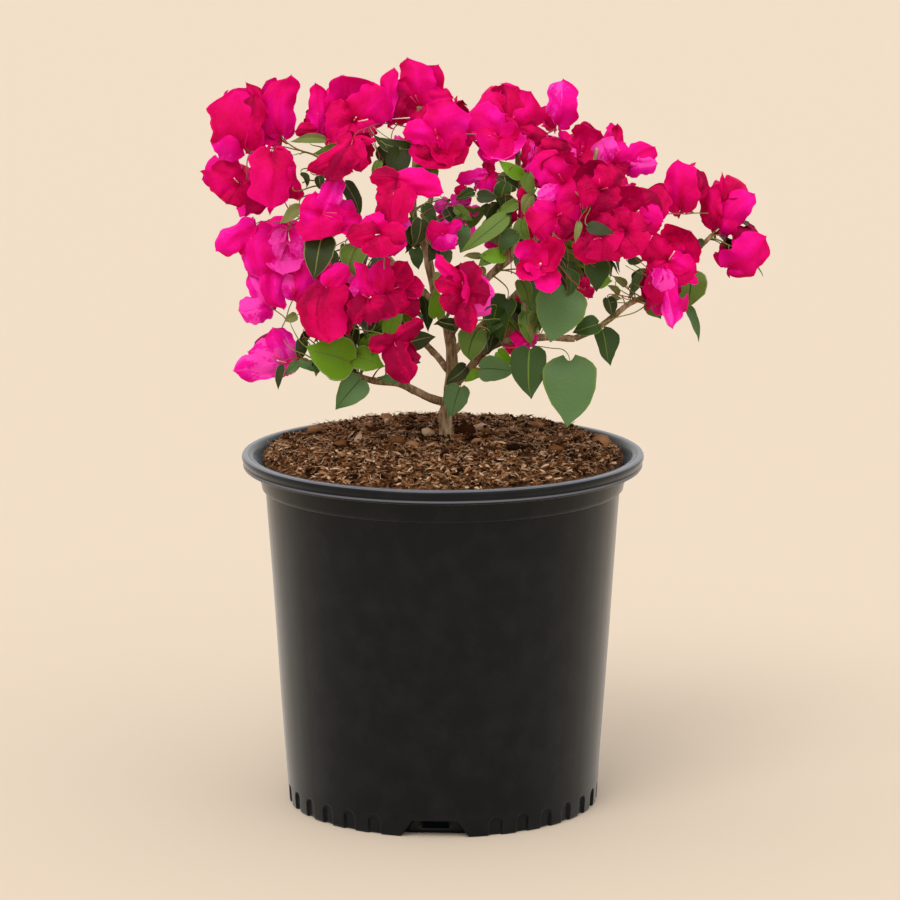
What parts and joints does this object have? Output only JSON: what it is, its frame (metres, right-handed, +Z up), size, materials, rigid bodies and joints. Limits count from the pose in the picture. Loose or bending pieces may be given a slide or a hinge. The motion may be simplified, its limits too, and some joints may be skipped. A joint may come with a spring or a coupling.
{
  "type": "potted bougainvillea bush",
  "caption": "Flowering bougainvillea bush in a plain round nursery pot: short bare trunk, spreading boughs and a wide, open crown of magenta bracts and green leaves.",
  "frame": {"origin": "centre of the pot's flat underside", "axes": "+Z up along the pot's axis, -Y towards the front of the bush, +X to its right seen from the front"},
  "size_m": [0.389, 0.293, 0.5235],
  "materials": {
    "pot_plastic": "satin black moulded plastic",
    "bark_mix": "loose brown bark and peat mix",
    "bark": "fissured grey-brown bark",
    "bracts": "papery magenta bracts",
    "leaves": "slightly glossy green leaves"
  },
  "bodies": {
    "root": {"pot": "pot_plastic", "soil": "bark_mix", "trunk": "bark", "bough_back": "bark", "bough_back_left": "bark", "bough_back_right": "bark", "bough_front": "bark", "bough_left_high": "bark", "bough_left_low": "bark", "bough_right_high": "bark", "bough_right_low": "bark", "bough_right_rising": "bark", "leader_left": "bark", "leader_right": "bark", "bloom_back_heart": "bracts", "bloom_back_left_brow": "bracts", "bloom_back_left_cheek": "bracts", "bloom_back_left_skirt": "bracts", "bloom_back_peak": "bracts", "bloom_back_right_brow": "bracts", "bloom_back_right_cheek": "bracts", "bloom_back_right_skirt": "bracts", "bloom_centre_left": "bracts", "bloom_centre_right": "bracts", "bloom_crown_face": "bracts", "bloom_crown_peak": "bracts", "bloom_front_ember": "bracts", "bloom_left_bell": "bracts", "bloom_left_brow": "bracts", "bloom_left_crest": "bracts", "bloom_left_ember": "bracts", "bloom_left_eye": "bracts", "bloom_left_face": "bracts", "bloom_left_foot": "bracts", "bloom_left_knot": "bracts", "bloom_left_plume": "bracts", "bloom_left_skirt": "bracts", "bloom_left_tip": "bracts", "bloom_low_lantern": "bracts", "bloom_low_right_face": "bracts", "bloom_right_cheek": "bracts", "bloom_right_drop": "bracts", "bloom_right_fan": "bracts", "bloom_right_heart": "bracts", "bloom_right_lantern": "bracts", "bloom_right_pair": "bracts", "bloom_right_peak": "bracts", "bloom_right_petal": "bracts", "bloom_right_shoulder": "bracts", "bloom_right_veil": "bracts", "leaves_back_left": "leaves", "leaves_back_right": "leaves", "leaves_big": "leaves", "leaves_centre": "leaves", "leaves_crown": "leaves", "leaves_hanging": "leaves", "leaves_left": "leaves", "leaves_low_left": "leaves", "leaves_low_right": "leaves", "leaves_right_low": "leaves"}
  },
  "joints": []
}
